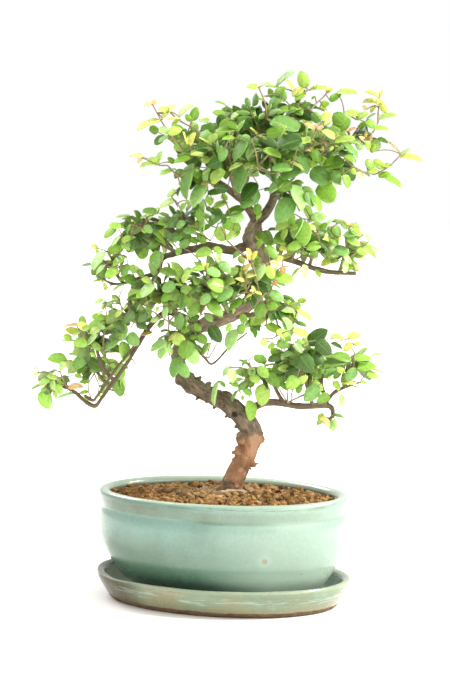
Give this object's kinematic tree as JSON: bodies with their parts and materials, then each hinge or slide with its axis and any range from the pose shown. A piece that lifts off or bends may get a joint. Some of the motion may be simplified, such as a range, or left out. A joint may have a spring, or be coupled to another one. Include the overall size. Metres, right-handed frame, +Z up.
{
  "type": "potted bonsai tree",
  "caption": "Small bonsai tree with an S-shaped trunk and pads of small oval leaves, planted in clay granules in an oval glazed pot on a matching drip tray.",
  "frame": {"origin": "middle of the drip tray's flat underside, on the table", "axes": "+Z up the tree, X along the oval pot's length, +Y towards the back; the tree's own front is turned 21 degrees from the pot's front, about +Z"},
  "size_m": [0.2831, 0.171, 0.4085],
  "materials": {
    "tray_glaze": "gloss",
    "pot_glaze": "gloss",
    "clay_granules": "matte",
    "bark": "matte",
    "leaf": "satin"
  },
  "bodies": {
    "root": {"drip_tray": "tray_glaze", "pot": "pot_glaze", "soil": "clay_granules", "trunk": "bark", "leaves_crown_left_tip": "leaf", "leaves_crown_left": "leaf", "leaves_crown_left_low": "leaf", "leaves_crown_front_left": "leaf", "leaves_crown_top_left": "leaf", "leaves_crown_top": "leaf", "leaves_crown_top_front": "leaf", "leaves_crown_front": "leaf", "leaves_crown_front_low": "leaf", "leaves_crown_right_front": "leaf", "leaves_crown_right": "leaf", "leaves_crown_right_low": "leaf", "leaves_crown_back_left": "leaf", "leaves_crown_back": "leaf", "leaves_crown_back_right": "leaf", "leaves_left_top": "leaf", "leaves_left_mid": "leaf", "leaves_left_tip": "leaf", "leaves_left_back": "leaf", "leaves_mid_front_left": "leaf", "leaves_mid_front": "leaf", "leaves_mid_front_right": "leaf", "leaves_mid_low": "leaf", "leaves_back_low": "leaf", "leaves_right_top": "leaf", "leaves_right_tip": "leaf", "leaves_right_back": "leaf", "leaves_low_left_top": "leaf", "leaves_low_left_mid": "leaf", "leaves_low_left_tip": "leaf", "leaves_low_left_back": "leaf", "leaves_low_right_near": "leaf", "leaves_low_right_mid": "leaf", "leaves_low_right_tip": "leaf", "leaves_low_right_back": "leaf", "leaves_low_right_drop": "leaf"}
  },
  "joints": []
}
